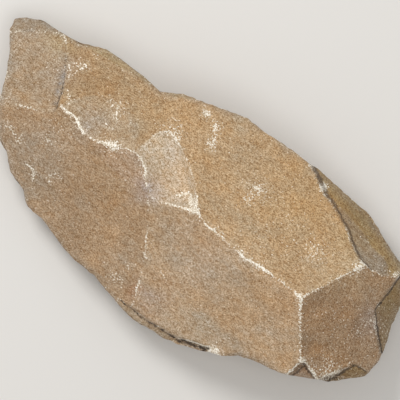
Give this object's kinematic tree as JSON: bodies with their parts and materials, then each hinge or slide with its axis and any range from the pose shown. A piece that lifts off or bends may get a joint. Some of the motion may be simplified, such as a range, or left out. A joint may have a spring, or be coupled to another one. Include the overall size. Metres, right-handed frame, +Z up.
{
  "type": "stone hand axe",
  "caption": "Flaked stone hand axe: a pointed tip, a thick faceted butt held in the palm, chipped margins, and a flat bed on the underside that it lies on.",
  "frame": {"origin": "middle of the bounding box at the level of the flat bed on the underside", "axes": "+X along the stone towards the pointed tip, +Z up out of the flaked upper face, +Y to the left seen from the butt"},
  "size_m": [0.1654, 0.077, 0.0412],
  "materials": {
    "quartzite": "fine-grained tan quartzite, matt and weathered, with pale bruised ridges"
  },
  "bodies": {
    "root": {"hand_axe": "quartzite"}
  },
  "joints": []
}
